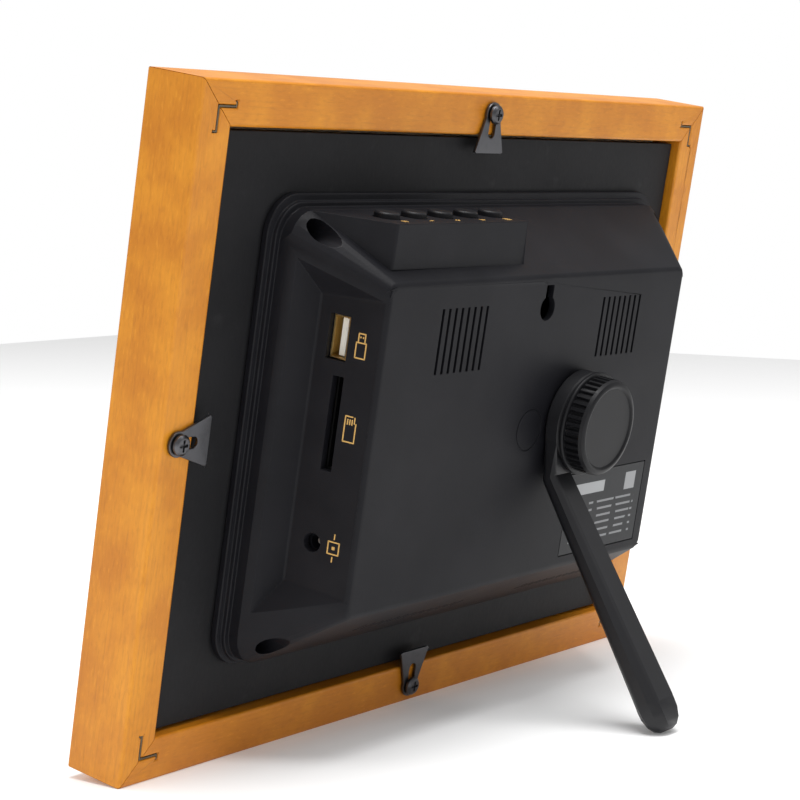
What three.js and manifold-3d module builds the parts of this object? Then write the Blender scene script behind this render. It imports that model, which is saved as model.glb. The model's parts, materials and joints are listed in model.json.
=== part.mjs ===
// Digital photo frame: a mitred wooden surround, a display, a plastic rear case and a screw-clamped leg.
// Millimetres. Inside the tilted panel +X and +Z run along the picture, and +Y points out of the back.
// y = 0 is the rear face of the wood, and x = z = 0 is the middle of the picture.
// Left and right are as seen from behind, so left is +X.
import * as THREE from 'three';
import { ConvexGeometry } from 'three/addons/geometries/ConvexGeometry.js';
import { mergeVertices } from 'three/addons/utils/BufferGeometryUtils.js';
import Module from 'manifold-3d';

const wasm = await Module();
wasm.setup();

// ---------------------------------------------------------------- driving dimensions

const lean = THREE.MathUtils.degToRad(10); // how far the panel leans back
const gap = 0.3; // clearance between neighbouring pieces
const through = 1; // how far a cutter runs past the face it opens

const wood = {
  width: 253, height: 190, depth: 19.8,
  rail: 12.2, lip: 6, lipDepth: 5, edgeRadius: 0.8,
};
const cornerNail = { inset: 7, arm: 6.8, hook: 1.4, thickness: 0.5, depth: 8, sunk: 0.2, play: 0.15 };
const stack = { glass: 2, mat: 1.5, board: 3, glassPlay: 0.5, boardPlay: 1.15 };
const picture = { width: 160, height: 120 };
const display = { width: 183, height: 141, depth: 4.4, wall: 1, rear: 0.8 };

const rearCase = {
  depth: 32.4, wall: 2,
  rim: { left: 94, right: -104, top: 65.5, bottom: -67.6, radius: 11, height: 1.8 },
  step: { left: 92, right: -102, top: 63.5, bottom: -66.8, radius: 10, height: 1.3 },
  body: { left: 90.3, right: -100.3, top: 62, bottom: -66, radius: 9, height: 3.3 },
  back: { left: 77, right: -77, top: 46.5, bottom: -46.5, radius: 3 },
};
const well = { insetX: 6.6, insetTop: 5.2, insetBottom: 7.4, radius: 3.2, wall: 1.6, floor: 2.6 };
const portRecess = {
  foot: 3.5, footY: 9.5, footZ: 40.4, // where the floor meets the wall, outside the back face
  sill: 1.3, sillY: 6.4, sillZ: 49.5, // where the floor runs out through the bevel, inside its edge
  mouthZ: 41.5, // half the opening's height at the back face
};
const pod = { innerMargin: 6.5, outerMargin: 6.9, slant: 11.6, below: 0.2, sunk: 5, frontY: 4, root: 45 };
const speaker = { x: 41.5, z: 29.6, radius: 13, depth: 2.2, magnetRadius: 8, magnetDepth: 3 };
const grille = { slots: 8, pitch: 3, width: 1.1, height: 18.5 };
const keyhole = { z: 36.8, radius: 3.7, slotRadius: 1.9, slotTop: 45 };
const centreRing = { radius: 6.5, width: 0.5, depth: 0.3 };
const vents = {
  perGroup: 13, pitch: 4, width: 1.2, length: 4.4, middleX: -17, apart: 82.8, y: 14.2,
  turn: THREE.MathUtils.degToRad(35),
};
const label = { x0: -72, x1: -28, z0: -43, z1: -17, thickness: 0.2, recess: 0.55 };

const mainBoard = {
  x0: -6, edge: 3, halfZ: 43, clearance: 1, thickness: 1.6,
  postX: 10, postInset: 6, postZ: 39.5, postRadius: 3,
};
const usb = {
  z: 29.5, width: 11.8, height: 5.6, length: 15, wall: 0.4, proud: 1.2, below: 1,
  tongue: 1.9, tongueRoot: 3, tongueShort: 1.5,
};
const card = {
  z: 6, width: 29.4, height: 3.7, length: 27, proud: -0.4, below: 0.3,
  slotWidth: 26.2, slotHeight: 3.3, pocketWidth: 25.2, pocketHeight: 2.4, backWall: 3,
};
const power = {
  z: -27.8, width: 9, height: 6, length: 12, proud: -0.4, below: 0.3,
  radius: 2.3, pinRadius: 0.8, pinShort: 1, backWall: 3,
};
const ribbon = { x0: 0, x1: 20, z: -50.5, bendY: 8, endZ: -36, thickness: 0.3, slot: 1.5 };

const button = {
  count: 5, firstX: 15.7, pitch: 12.2, inset: 9.5, radius: 3.6, proud: 1.7,
  collarRadius: 4.2, collar: 1.2, stemRadius: 2.2, stem: 1.1, travel: 0.8, edge: 0.5,
};
const tactSwitch = { size: 6, height: 3.5, plungerRadius: 1.7, plunger: 0.8 };
const buttonBoard = { front: 8.5, back: 4.5, thickness: 1.6, margin: 3 };

const hub = {
  x: -23, z: 1.6, bossRadius: 7.6, bossDepth: 9, insertRadius: 4.6,
  boltRadius: 2.9, boltHead: 4.8, headDepth: 2.8, headSunk: 1,
};
const knob = {
  flangeRadius: 16, flange: 1.4, radius: 14.8, height: 7.6, ribs: 40, ribDepth: 0.8,
  shoulder: 1.4, rim: 2.2, dish: 0.5,
};
const leg = {
  headRadius: 15.4, head: 5.4, headEdge: 0.8, rise: THREE.MathUtils.degToRad(38.5), offset: 9,
  neckZ: 16.5, neckLift: 0.4, neckWidth: 11, neckDepth: 5.4, footWidth: 13.5, footDepth: 8.4, chamfer: 0.28,
};

const clip = {
  inset: 5.8, tip: 3.6, length: 11.6, halfWidth: 7, corner: 0.8, thickness: 1, slot: 5.5, screwLength: 11,
};
const screw = { shank: 1.3, head: 2.9, headDepth: 1.5, recess: 0.9, recessWidth: 0.75, recessSpan: 3.2 };

// ---------------------------------------------------------------- finishes

function finish(color, roughness, metalness = 0) {
  return { color, roughness, metalness };
}
const finishes = {
  wood: finish(0xd99232, 0.45),
  steel: finish(0x8f8f8c, 0.35, 1),
  blackSteel: finish(0x1c1c1e, 0.4, 0.8),
  glass: finish(0xb9c6c4, 0.05),
  mat: finish(0xe8e0cf, 0.9),
  screen: finish(0x101216, 0.1),
  board: finish(0x232326, 0.7),
  casePlastic: finish(0x303034, 0.6),
  knobPlastic: finish(0x2a2a2d, 0.6),
  circuit: finish(0x1f5a36, 0.5),
  brass: finish(0xc9a04c, 0.3, 1),
  whitePlastic: finish(0xe9e9e4, 0.5),
  label: finish(0x3b3d40, 0.5),
  ribbon: finish(0xb87333, 0.4),
};

// ---------------------------------------------------------------- solids

// A closed geometry as a solid, with its faces turned outwards.
function solidFrom(geometry) {
  const bare = geometry.clone();
  bare.deleteAttribute('normal');
  bare.deleteAttribute('uv');
  const merged = mergeVertices(bare);
  const corner = merged.attributes.position;
  const triangles = [];
  let volume = 0;
  const [a, b, c] = [new THREE.Vector3(), new THREE.Vector3(), new THREE.Vector3()];
  for (let i = 0; i < merged.index.count; i += 3) {
    const face = [0, 1, 2].map((k) => merged.index.getX(i + k));
    if (new Set(face).size < 3) continue;
    triangles.push(face);
    a.fromBufferAttribute(corner, face[0]);
    b.fromBufferAttribute(corner, face[1]);
    c.fromBufferAttribute(corner, face[2]);
    volume += a.dot(b.cross(c));
  }
  if (volume < 0) triangles.forEach((face) => face.reverse());
  return new wasm.Manifold(new wasm.Mesh({
    numProp: 3,
    vertProperties: Float32Array.from(corner.array),
    triVerts: Uint32Array.from(triangles.flat()),
  }));
}

function geometryFrom(solid) {
  const mesh = solid.getMesh();
  const geometry = new THREE.BufferGeometry();
  geometry.setAttribute('position', new THREE.BufferAttribute(mesh.vertProperties, 3));
  geometry.setIndex(new THREE.BufferAttribute(mesh.triVerts, 1));
  geometry.computeVertexNormals();
  return geometry;
}

const join = (...solids) => solids.reduce((sum, next) => sum.add(next));
const cut = (body, ...cutters) => cutters.reduce((rest, next) => rest.subtract(next), body);

function block(x0, x1, y0, y1, z0, z1) {
  const box = new THREE.BoxGeometry(x1 - x0, y1 - y0, z1 - z0);
  return solidFrom(box.translate((x0 + x1) / 2, (y0 + y1) / 2, (z0 + z1) / 2));
}

// A flat shape drawn in x and z, given a thickness from y0 to y1.
function slab(shape, y0, y1, curveSegments = 6) {
  const extruded = new THREE.ExtrudeGeometry(shape, { depth: y1 - y0, bevelEnabled: false, curveSegments });
  return solidFrom(extruded.rotateX(Math.PI / 2).translate(0, y1, 0));
}

// A profile of [radius, y] pairs turned about a line along y through (x, z).
function turned(profile, x, z, segments = 20) {
  const points = profile.map(([radius, y]) => new THREE.Vector2(radius, y));
  return solidFrom(new THREE.LatheGeometry(points, segments).translate(x, 0, z));
}

const rod = (x, z, radius, y0, y1, segments = 20) =>
  turned([[0, y0], [radius, y0], [radius, y1], [0, y1]], x, z, segments);

// The same two, standing along x or along z instead of y.
function rodAlongX(y, z, radius, x0, x1, segments = 16) {
  const bar = new THREE.CylinderGeometry(radius, radius, x1 - x0, segments);
  return solidFrom(bar.rotateZ(Math.PI / 2).translate((x0 + x1) / 2, y, z));
}
function turnedAlongZ(profile, x, y, segments = 20) {
  const points = profile.map(([radius, z]) => new THREE.Vector2(radius, z));
  return solidFrom(new THREE.LatheGeometry(points, segments).rotateX(Math.PI / 2).translate(x, y, 0));
}

const hull = (points) => solidFrom(new ConvexGeometry(points));

// The centres of a rounded rectangle's four corner arcs, in order round it from the first quadrant.
function arcCentres({ left, right, top, bottom, radius }) {
  return [[left - radius, top - radius], [right + radius, top - radius],
    [right + radius, bottom + radius], [left - radius, bottom + radius]];
}

function roundedRectangle(rectangle) {
  const shape = new THREE.Shape();
  arcCentres(rectangle).forEach(([x, z], quarter) =>
    shape.absarc(x, z, rectangle.radius, quarter * Math.PI / 2, (quarter + 1) * Math.PI / 2));
  return shape;
}

// The outline of a rounded rectangle as points at one height y.
function outline(rectangle, y, arcSteps = 5) {
  return arcCentres(rectangle).flatMap(([x, z], quarter) =>
    Array.from({ length: arcSteps + 1 }, (_, i) => {
      const angle = (quarter + i / arcSteps) * Math.PI / 2;
      return new THREE.Vector3(
        x + rectangle.radius * Math.cos(angle), y, z + rectangle.radius * Math.sin(angle));
    }));
}

// ---------------------------------------------------------------- the panel and its nodes

const panel = new THREE.Group();
panel.rotation.x = -lean;

function addPart(name, solid, { color, roughness, metalness }) {
  const mesh = new THREE.Mesh(
    geometryFrom(solid), new THREE.MeshStandardMaterial({ color, roughness, metalness }));
  mesh.name = name;
  panel.add(mesh);
  return mesh;
}

// ---------------------------------------------------------------- depths through the panel

const frontY = -wood.depth;
const lipBack = frontY + wood.lipDepth;
const glassFront = lipBack + gap;
const matFront = glassFront + stack.glass + gap;
const displayFront = matFront + stack.mat + gap;
const displayBack = displayFront + display.depth;
const boardFront = displayBack + gap;
const boardBack = boardFront + stack.board;
const caseBase = boardBack + gap;
const rimTop = caseBase + rearCase.rim.height;
const stepTop = rimTop + rearCase.step.height;
const bevelStart = stepTop + rearCase.body.height;
const caseBack = caseBase + rearCase.depth;
const opening = { halfX: wood.width / 2 - wood.rail, halfZ: wood.height / 2 - wood.rail };

// ---------------------------------------------------------------- wooden rails and corner nails

// One arm pair of a corner nail, seen from behind at the corner with the given signs.
function nailSolid(signX, signZ, grow, y0, y1) {
  const cornerX = signX * (wood.width / 2 - cornerNail.inset);
  const cornerZ = signZ * (wood.height / 2 - cornerNail.inset);
  const half = cornerNail.thickness / 2 + grow;
  const long = cornerNail.arm + grow;
  const hook = cornerNail.hook + grow;
  const span = (from, to) => [Math.min(from, to), Math.max(from, to)];
  const bar = (x0, x1, z0, z1) => block(...span(x0, x1), y0, y1, ...span(z0, z1));
  const endX = cornerX - signX * (long - half);
  const endZ = cornerZ - signZ * (long - half);
  return join(
    bar(cornerX + signX * half, cornerX - signX * long, cornerZ - half, cornerZ + half),
    bar(cornerX - half, cornerX + half, cornerZ + signZ * half, cornerZ - signZ * long),
    bar(endX - half, endX + half, cornerZ - signZ * half, cornerZ + signZ * hook),
    bar(cornerX - signX * half, cornerX + signX * hook, endZ - half, endZ + half));
}

const corners = [[1, 1], [-1, 1], [-1, -1], [1, -1]];
const nailBack = -cornerNail.sunk;
const nailFront = nailBack - cornerNail.depth;

// The section of a rail: u runs inwards from the outer face, v is the y direction.
function railSection() {
  const r = wood.edgeRadius;
  const inner = wood.rail;
  const sight = wood.rail + wood.lip;
  const section = new THREE.Shape();
  section.absarc(r, frontY + r, r, Math.PI, 1.5 * Math.PI);
  section.absarc(sight - r, frontY + r, r, 1.5 * Math.PI, 2 * Math.PI);
  section.lineTo(sight, lipBack);
  section.lineTo(inner, lipBack);
  section.absarc(inner - r, -r, r, 0, Math.PI / 2);
  section.absarc(r, -r, r, Math.PI / 2, Math.PI);
  return section;
}

// The top rail with both ends mitred. The other rails are the same, turned about y.
function railSolid(length, distance) {
  const options = { depth: 1, bevelEnabled: false, curveSegments: 3 };
  const geometry = new THREE.ExtrudeGeometry(railSection(), options);
  const position = geometry.attributes.position;
  for (let i = 0; i < position.count; i++) {
    const inset = position.getX(i);
    const end = length / 2 - inset - gap / 2;
    position.setXYZ(i, position.getZ(i) > 0.5 ? end : -end, position.getY(i), distance - inset);
  }
  return solidFrom(geometry);
}

const rails = [
  { side: 'top', length: wood.width, distance: wood.height / 2, degrees: 0 },
  { side: 'left', length: wood.height, distance: wood.width / 2, degrees: 90 },
  { side: 'bottom', length: wood.width, distance: wood.height / 2, degrees: 180 },
  { side: 'right', length: wood.height, distance: wood.width / 2, degrees: -90 },
];

const nailSlots = corners.map(([signX, signZ]) =>
  nailSolid(signX, signZ, cornerNail.play, nailFront - cornerNail.play, through));
const screwBore = screw.shank + gap;
const clipSeat = gap + clip.thickness + gap;
const clipScrewTip = clipSeat - clip.screwLength;

for (const { side, length, distance, degrees } of rails) {
  const bore = rod(0, distance - clip.inset, screwBore, clipScrewTip - gap, through, 16);
  const rail = cut(railSolid(length, distance), bore).rotate([0, degrees, 0]);
  addPart(`frame_rail_${side}`, cut(rail, ...nailSlots), finishes.wood);
}
corners.forEach(([signX, signZ]) => {
  const place = `${signZ > 0 ? 'top' : 'bottom'}_${signX > 0 ? 'left' : 'right'}`;
  addPart(`corner_nail_${place}`, nailSolid(signX, signZ, 0, nailFront, nailBack), finishes.steel);
});

// ---------------------------------------------------------------- glass, mat, display and backing board

function sheet(play, y0, y1) {
  const halfX = opening.halfX - play;
  const halfZ = opening.halfZ - play;
  return block(-halfX, halfX, y0, y1, -halfZ, halfZ);
}

const matBack = matFront + stack.mat;
addPart('glass', sheet(stack.glassPlay, glassFront, glassFront + stack.glass), finishes.glass);
addPart('mat_board', cut(
  sheet(stack.glassPlay, matFront, matBack),
  block(-picture.width / 2, picture.width / 2, matFront - through, matBack + through,
    -picture.height / 2, picture.height / 2)), finishes.mat);

const trayX = display.width / 2;
const trayZ = display.height / 2;
const cellX = trayX - display.wall;
const cellZ = trayZ - display.wall;
const cellBack = displayBack - display.rear;
addPart('display_tray', cut(
  block(-trayX, trayX, displayFront, displayBack, -trayZ, trayZ),
  block(-cellX, cellX, displayFront - through, cellBack, -cellZ, cellZ)), finishes.steel);
addPart('display_panel', block(
  gap - cellX, cellX - gap, displayFront, cellBack - gap, gap - cellZ, cellZ - gap), finishes.screen);

const wells = corners.map(([signX, signZ]) => ({
  x: signX > 0 ? rearCase.body.left - well.insetX : rearCase.body.right + well.insetX,
  z: signZ > 0 ? rearCase.body.top - well.insetTop : rearCase.body.bottom + well.insetBottom,
}));
const boardHoles = wells.map(({ x, z }) =>
  rod(x, z, screwBore, boardFront - through, boardBack + through, 16));
addPart('backing_board', cut(
  sheet(stack.boardPlay, boardFront, boardBack), ...boardHoles,
  block(ribbon.x0 - gap, ribbon.x1 + gap, boardFront - through, boardBack + through,
    ribbon.z - ribbon.slot, ribbon.z + ribbon.slot)), finishes.board);

// ---------------------------------------------------------------- rear case

const bossFoot = caseBack - hub.bossDepth;
const insertFloor = bossFoot + rearCase.wall;
const speakerFace = caseBack - rearCase.wall - gap;
const basketFront = speakerFace - speaker.depth;

// The main board lies in front of the speakers, on posts that stand on the case's back wall.
const circuitBack = basketFront - speaker.magnetDepth - mainBoard.clearance;
const circuitFront = circuitBack - mainBoard.thickness;
const circuitLeft = rearCase.back.left - mainBoard.edge;
const posts = [mainBoard.postX, circuitLeft - mainBoard.postInset].flatMap((x) =>
  [-1, 1].map((side) => ({ x, z: side * mainBoard.postZ })));

// The sockets hang on the front face of the main board, and their mouths meet the recess's wall.
const socketY = (socket) => circuitFront - socket.below - socket.height / 2;
const mouthX = (socket) => rearCase.back.left + socket.proud;

// A box about a socket's middle line, from x0 to x1, with a width along z and a height along y.
const socketBox = (socket, x0, x1, width = socket.width, height = socket.height) => block(x0, x1,
  socketY(socket) - height / 2, socketY(socket) + height / 2, socket.z - width / 2, socket.z + width / 2);

// How far a sloping side comes in for each step in y.
const bevelSlope = (side) => (rearCase.body[side] - rearCase.back[side]) / (caseBack - bevelStart);

// The rectangle of the sloping sides at height y, with a wall taken off it square to each side.
function bevelRectangle(y, wall = 0) {
  const share = (y - bevelStart) / (caseBack - bevelStart);
  const { body, back } = rearCase;
  const rectangle = { radius: THREE.MathUtils.lerp(body.radius, back.radius, share) - wall / 2 };
  for (const [side, outwards] of Object.entries({ left: 1, right: -1, top: 1, bottom: -1 })) {
    const face = THREE.MathUtils.lerp(body[side], back[side], share);
    rectangle[side] = face - outwards * wall * Math.hypot(1, bevelSlope(side));
  }
  return rectangle;
}

const footX = rearCase.back.left + portRecess.foot;
const sillX = rearCase.body.left - portRecess.sill;

// Where the slanted end of the port recess lies, for a place on its floor or wall.
function recessEnd(x, y) {
  const { footY, footZ, sillY, sillZ, mouthZ } = portRecess;
  const across = new THREE.Vector3(rearCase.back.left - footX, caseBack - footY, mouthZ - footZ);
  const along = new THREE.Vector3(sillX - footX, sillY - footY, sillZ - footZ);
  const normal = across.cross(along);
  return footZ - (normal.x * (x - footX) + normal.y * (y - footY)) / normal.z;
}
// The wedge cut out of the left bevel for the sockets, grown by a wall thickness for the inside.
function recessSolid(grow) {
  const { footY, sillY } = portRecess;
  const wallSlope = (rearCase.back.left - footX) / (caseBack - footY);
  const floorSlope = (sillY - footY) / (sillX - footX);
  const outX = sillX + 8;
  const topY = caseBack + through;
  const corner = [
    [footX, footY],
    [footX + wallSlope * (topY - footY), topY],
    [outX, footY + floorSlope * (outX - footX)],
    [outX, topY],
  ];
  const shift = [[-grow, -grow], [-grow, 0], [0, -grow], [0, 0]];
  return hull(corner.flatMap(([x, y], i) => [1, -1].map((side) => new THREE.Vector3(
    x + shift[i][0], y + shift[i][1], side * (recessEnd(x, y) + grow)))));
}

const buttonX = Array.from({ length: button.count }, (_, i) => button.firstX + i * button.pitch);
const podInner = buttonX[0] - pod.innerMargin;
const podOuter = buttonX.at(-1) + pod.outerMargin;
const podTop = rearCase.body.top - pod.below;
const podBack = caseBack - pod.sunk;
const buttonY = podBack - button.inset;

// The raised block that carries the buttons, shrunk by a wall thickness for the inside.
function podSolid(shrink) {
  const top = podTop - shrink;
  const back = podBack - shrink;
  const slope = pod.slant / (podBack - pod.frontY);
  const plan = [
    [podInner + shrink, back], [podOuter - shrink, back],
    [podOuter - shrink + slope * (back - pod.frontY), pod.frontY], [podInner + shrink, pod.frontY],
  ];
  return hull(plan.flatMap(([x, y]) => [new THREE.Vector3(x, y, top), new THREE.Vector3(x, y, pod.root)]));
}

function caseOutside() {
  const { rim, step, body, back } = rearCase;
  return join(
    slab(roundedRectangle(rim), caseBase, rimTop),
    slab(roundedRectangle(step), caseBase, stepTop),
    hull([...outline(body, caseBase), ...outline(body, bevelStart), ...outline(back, caseBack)]),
    podSolid(0)).subtract(recessSolid(0));
}

function caseHollow() {
  const { wall } = rearCase;
  const innerY = caseBack - wall;
  const lower = bevelRectangle(bevelStart, wall);
  const hollow = join(
    hull([
      ...outline(lower, caseBase - through), ...outline(lower, bevelStart),
      ...outline(bevelRectangle(innerY, wall), innerY)]),
    podSolid(wall));
  return cut(hollow, recessSolid(wall),
    ...wells.map(({ x, z }) => rod(x, z, well.radius + well.wall, caseBase - through, caseBack)),
    rod(hub.x, hub.z, hub.bossRadius, bossFoot, caseBack), ...posts.map(({ x, z }) =>
      rod(x, z, mainBoard.postRadius, circuitBack + gap, caseBack, 16)));
}

function caseOpenings() {
  const wallFrom = caseBack - rearCase.wall - through;
  const wallTo = caseBack + through;
  const cutters = [];
  const wellFloor = caseBase + well.floor;
  for (const { x, z } of wells) {
    cutters.push(rod(x, z, well.radius, wellFloor, caseBack));
    cutters.push(rod(x, z, screwBore, caseBase - through, wallTo, 16));
  }
  for (const side of [-1, 1]) {
    for (let i = 0; i < grille.slots; i++) {
      const x = side * speaker.x + (i - (grille.slots - 1) / 2) * grille.pitch;
      cutters.push(block(x - grille.width / 2, x + grille.width / 2, wallFrom, wallTo,
        speaker.z - grille.height / 2, speaker.z + grille.height / 2));
    }
  }
  const slotEnd = keyhole.slotTop - keyhole.slotRadius;
  cutters.push(
    rod(0, keyhole.z, keyhole.radius, wallFrom, wallTo, 28),
    rod(0, slotEnd, keyhole.slotRadius, wallFrom, wallTo, 20),
    block(-keyhole.slotRadius, keyhole.slotRadius, wallFrom, wallTo, keyhole.z, slotEnd));
  const ringInner = centreRing.radius - centreRing.width;
  const ringFloor = caseBack - centreRing.depth;
  cutters.push(turned([
    [ringInner, ringFloor], [centreRing.radius, ringFloor], [centreRing.radius, wallTo],
    [ringInner, wallTo], [ringInner, ringFloor]], 0, 0, 32));
  cutters.push(block(
    label.x0 - gap, label.x1 + gap, caseBack - label.recess, wallTo, label.z0 - gap, label.z1 + gap));
  cutters.push(...ventSlots());
  const side = [rearCase.back.left - 2 * rearCase.wall, sillX];
  cutters.push(
    socketBox(usb, ...side, usb.width + 2 * gap, usb.height + 2 * gap),
    socketBox(card, ...side, card.slotWidth, card.slotHeight),
    rodAlongX(socketY(power), power.z, power.radius + gap, ...side));
  const [from, to] = [podTop - rearCase.wall - through, podTop + through];
  const hole = [[0, from], [button.radius + gap, from], [button.radius + gap, to], [0, to]];
  cutters.push(...buttonX.map((x) => turnedAlongZ(hole, x, buttonY)));
  cutters.push(rod(hub.x, hub.z, hub.insertRadius + gap, insertFloor, wallTo));
  cutters.push(rod(hub.x, hub.z, hub.boltRadius + gap, bossFoot - through, wallTo));
  return cutters;
}

// Two rows of short leaning slots through the bottom bevel.
function ventSlots() {
  const tilt = Math.atan(-bevelSlope('bottom'));
  const slots = [];
  for (const side of [-1, 1]) {
    for (let i = 0; i < vents.perGroup; i++) {
      const slot = new THREE.BoxGeometry(vents.width, vents.length, 2 * rearCase.wall + 2 * through);
      slot.rotateZ(vents.turn).rotateX(tilt);
      const x = vents.middleX + side * vents.apart / 2 + (i - (vents.perGroup - 1) / 2) * vents.pitch;
      slots.push(solidFrom(slot.translate(x, vents.y, bevelRectangle(vents.y).bottom)));
    }
  }
  return slots;
}

addPart('rear_case', cut(caseOutside(), caseHollow(), ...caseOpenings()), finishes.casePlastic);

// ---------------------------------------------------------------- screws

// A pan-head screw along y: its seat is where the head starts, and its tip is the end of the shank.
function screwSolid(x, z, seat, tip, facing = 1) {
  const top = seat + facing * screw.headDepth;
  const shoulder = top - facing * 0.45 * screw.headDepth;
  const cross = (halfX, halfZ) => block(x - halfX, x + halfX,
    Math.min(top - facing * screw.recess, top + facing * through),
    Math.max(top - facing * screw.recess, top + facing * through), z - halfZ, z + halfZ);
  return cut(turned([
    [0, tip], [0.5 * screw.shank, tip], [screw.shank, tip + facing * screw.shank], [screw.shank, seat],
    [screw.head, seat], [screw.head, shoulder], [0.75 * screw.head, top], [0, top]], x, z, 16),
  cross(screw.recessSpan / 2, screw.recessWidth / 2), cross(screw.recessWidth / 2, screw.recessSpan / 2));
}

wells.forEach(({ x, z }, i) => addPart(`case_screw_${i + 1}`,
  screwSolid(x, z, caseBase + well.floor + gap, boardFront + gap), finishes.blackSteel));

// ---------------------------------------------------------------- electronics

addPart('main_board', cut(
  block(mainBoard.x0, circuitLeft, circuitFront, circuitBack, -mainBoard.halfZ, mainBoard.halfZ),
  ...posts.map(({ x, z }) => rod(x, z, screwBore, circuitFront - through, circuitBack + through, 16))),
finishes.circuit);

const usbBack = mouthX(usb) - usb.length;
const usbInner = [usb.width - 2 * usb.wall, usb.height - 2 * usb.wall];
const [tongueWidth, rootHeight] = usbInner.map((size) => size - 2 * gap);
addPart('usb_shell', cut(
  socketBox(usb, usbBack, mouthX(usb)),
  socketBox(usb, usbBack - through, mouthX(usb) + through, ...usbInner)), finishes.brass);
addPart('usb_tongue', join(
  socketBox(usb, usbBack + gap, usbBack + usb.tongueRoot, tongueWidth, rootHeight),
  socketBox(usb, usbBack + gap, mouthX(usb) - usb.tongueShort, tongueWidth, usb.tongue)),
finishes.whitePlastic);

const cardBack = mouthX(card) - card.length;
addPart('card_socket', cut(
  socketBox(card, cardBack, mouthX(card)),
  socketBox(card, cardBack + card.backWall, mouthX(card) + through, card.pocketWidth, card.pocketHeight)),
finishes.steel);

const powerBack = mouthX(power) - power.length;
const jackRod = (radius, x0, x1) => rodAlongX(socketY(power), power.z, radius, x0, x1);
addPart('power_jack', cut(
  socketBox(power, powerBack, mouthX(power)),
  jackRod(power.radius, powerBack + power.backWall, mouthX(power) + through),
  jackRod(power.pinRadius + gap, powerBack - through, powerBack + power.backWall + through)),
finishes.casePlastic);
addPart('power_jack_pin',
  jackRod(power.pinRadius, powerBack, mouthX(power) - power.pinShort), finishes.steel);

posts.forEach(({ x, z }, i) => addPart(`board_screw_${i + 1}`,
  screwSolid(x, z, circuitFront - gap, circuitBack, -1), finishes.steel));

['left', 'right'].forEach((place, i) => {
  const magnetFront = basketFront - speaker.magnetDepth;
  addPart(`speaker_${place}`, turned([
    [0, magnetFront], [speaker.magnetRadius, magnetFront], [speaker.magnetRadius, basketFront],
    [speaker.radius, basketFront], [speaker.radius, speakerFace],
    [0.8 * speaker.radius, speakerFace], [0.3 * speaker.radius, speakerFace - 1], [0, speakerFace - 0.6],
  ], (i === 0 ? 1 : -1) * speaker.x, speaker.z), finishes.steel);
});

const ribbonHalf = ribbon.thickness / 2;
const bendFront = ribbon.bendY - ribbon.thickness;
const ribbonRun = (y0, y1, z0, z1) => block(ribbon.x0, ribbon.x1, y0, y1, z0, z1);
addPart('display_ribbon', join(
  ribbonRun(boardFront, ribbon.bendY, ribbon.z - ribbonHalf, ribbon.z + ribbonHalf),
  ribbonRun(bendFront, ribbon.bendY, ribbon.z - ribbonHalf, ribbon.endZ),
  ribbonRun(bendFront, circuitFront - gap, ribbon.endZ - ribbon.thickness, ribbon.endZ)), finishes.ribbon);

addPart('rating_label', block(label.x0, label.x1, caseBack - label.recess + gap,
  caseBack - label.recess + gap + label.thickness, label.z0, label.z1), finishes.label);

// ---------------------------------------------------------------- buttons

const collarTop = podTop - rearCase.wall - gap;
const stemTop = collarTop - button.collar;
const stemEnd = stemTop - button.stem;
const plungerTop = stemEnd - button.travel - gap;
const plungerFoot = plungerTop - tactSwitch.plunger;
const switchFoot = plungerFoot - tactSwitch.height;
const padTop = switchFoot - gap;

buttonX.forEach((x, i) => {
  const capTop = podTop + button.proud;
  addPart(`button_${i + 1}`, turnedAlongZ([
    [0, stemEnd], [button.stemRadius, stemEnd], [button.stemRadius, stemTop],
    [button.collarRadius, stemTop], [button.collarRadius, collarTop], [button.radius, collarTop],
    [button.radius, capTop - button.edge], [button.radius - button.edge, capTop], [0, capTop],
  ], x, buttonY), finishes.casePlastic);
  const half = tactSwitch.size / 2;
  addPart(`switch_${i + 1}`, join(
    block(x - half, x + half, buttonY - half, buttonY + half, switchFoot, plungerFoot),
    turnedAlongZ([[0, switchFoot + through], [tactSwitch.plungerRadius, switchFoot + through],
      [tactSwitch.plungerRadius, plungerTop], [0, plungerTop]], x, buttonY, 16)), finishes.steel);
});
addPart('button_board', block(podInner + buttonBoard.margin, podOuter - buttonBoard.margin,
  buttonY - buttonBoard.front, buttonY + buttonBoard.back,
  padTop - buttonBoard.thickness, padTop), finishes.circuit);

// ---------------------------------------------------------------- leg, knob and their clamp screw

const legBase = caseBack + gap;
const legTop = legBase + leg.head;
const knobBase = legTop + gap;
const flangeTop = knobBase + knob.flange;
const knobTop = knobBase + knob.height;
const boltHeadBase = knobBase + hub.headSunk;
const boltHeadTop = boltHeadBase + hub.headDepth;

const insertFoot = insertFloor + gap;
addPart('stand_insert', cut(
  rod(hub.x, hub.z, hub.insertRadius, insertFoot, caseBack),
  rod(hub.x, hub.z, hub.boltRadius + gap, insertFoot - through, caseBack + through)), finishes.brass);

addPart('stand_bolt', join(
  rod(hub.x, hub.z, hub.boltRadius, bossFoot, boltHeadTop),
  rod(hub.x, hub.z, hub.boltHead, boltHeadBase, boltHeadTop, 6)), finishes.steel);

// A section across the leg: its middle, its width along x and its depth square to the leg.
function legSection(along, width, depth) {
  const direction = new THREE.Vector3(0, Math.sin(leg.rise), -Math.cos(leg.rise));
  const outward = new THREE.Vector3(0, Math.cos(leg.rise), Math.sin(leg.rise));
  const middle = legStart().addScaledVector(direction, along);
  const bevel = leg.chamfer * depth;
  const points = [];
  for (const [side, face] of corners) {
    points.push([side * (width / 2 - bevel), face * depth / 2]);
    points.push([side * width / 2, face * (depth / 2 - bevel)]);
  }
  return points.map(([across, out]) =>
    middle.clone().addScaledVector(outward, out).add(new THREE.Vector3(across, 0, 0)));
}
function legStart() {
  return new THREE.Vector3(hub.x + leg.offset, legBase + leg.neckDepth / 2 + leg.neckLift, hub.z - leg.neckZ);
}
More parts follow.
